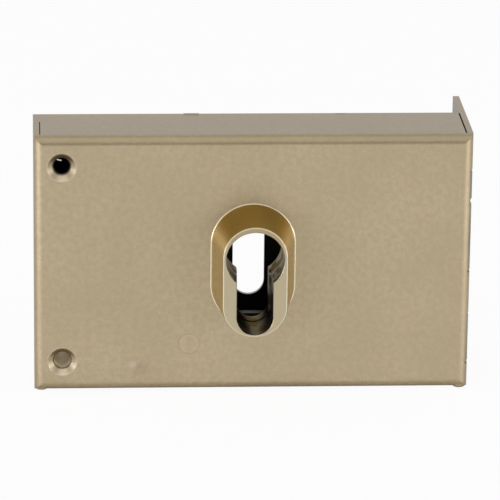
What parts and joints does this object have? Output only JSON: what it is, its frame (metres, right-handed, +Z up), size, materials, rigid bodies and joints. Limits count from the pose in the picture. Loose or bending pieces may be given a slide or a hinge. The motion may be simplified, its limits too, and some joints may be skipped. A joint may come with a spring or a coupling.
{
  "type": "rim box lock",
  "caption": "Surface-mounted box lock with a raised boss for a profile half cylinder, a forend lip over the door's edge and withdrawn square bolts.",
  "frame": {"origin": "the cylinder axis where it crosses the outside of the front plate", "axes": "+X towards the forend that the bolts leave, +Y from the room into the door, +Z up"},
  "size_m": [0.14, 0.061, 0.0851],
  "materials": {
    "lacquer": "champagne metallic lacquer, satin",
    "boss_lacquer": "champagne metallic lacquer over die casting, glossier",
    "zinc_sheet": "zinc-plated sheet steel",
    "zinc": "zinc-plated turned steel",
    "bolt_steel": "bright drawn steel",
    "spring_steel": "oiled spring steel",
    "brass": "yellow passivated screw"
  },
  "bodies": {
    "case": {"case": "lacquer", "cylinder_boss": "boss_lacquer", "boss_screws": "zinc", "back_cover": "zinc_sheet", "cover_pillars": "zinc", "cover_screws": "zinc", "fixing_sleeves": "zinc", "guide_post": "bolt_steel", "tumbler_pivot": "bolt_steel", "retaining_clips": "spring_steel", "tumbler_spring": "spring_steel", "spring_seat": "bolt_steel", "forend_guide": "zinc_sheet", "guide_rivets": "bolt_steel", "cylinder_screw": "brass"},
    "bolts": {"upper_bolt": "bolt_steel", "main_bolt": "bolt_steel", "lower_bolt": "bolt_steel", "bolt_plate": "zinc_sheet", "bolt_rivets": "bolt_steel"},
    "tumbler": {"tumbler": "zinc_sheet", "tumbler_stump": "bolt_steel"}
  },
  "joints": [
    {"name": "bolt_throw", "type": "slide", "parent": "case", "child": "bolts", "axis": [1, 0, 0], "range_m": [0, 0.02]},
    {"name": "tumbler_lift", "type": "hinge", "parent": "case", "child": "tumbler", "pos_m": [-0.027, 0.0143, 0.01796], "axis": [0, -1, 0], "range_deg": [-3, 5.7], "stiffness_Nm_per_rad": 0.6, "deforming": ["tumbler_spring"]}
  ]
}
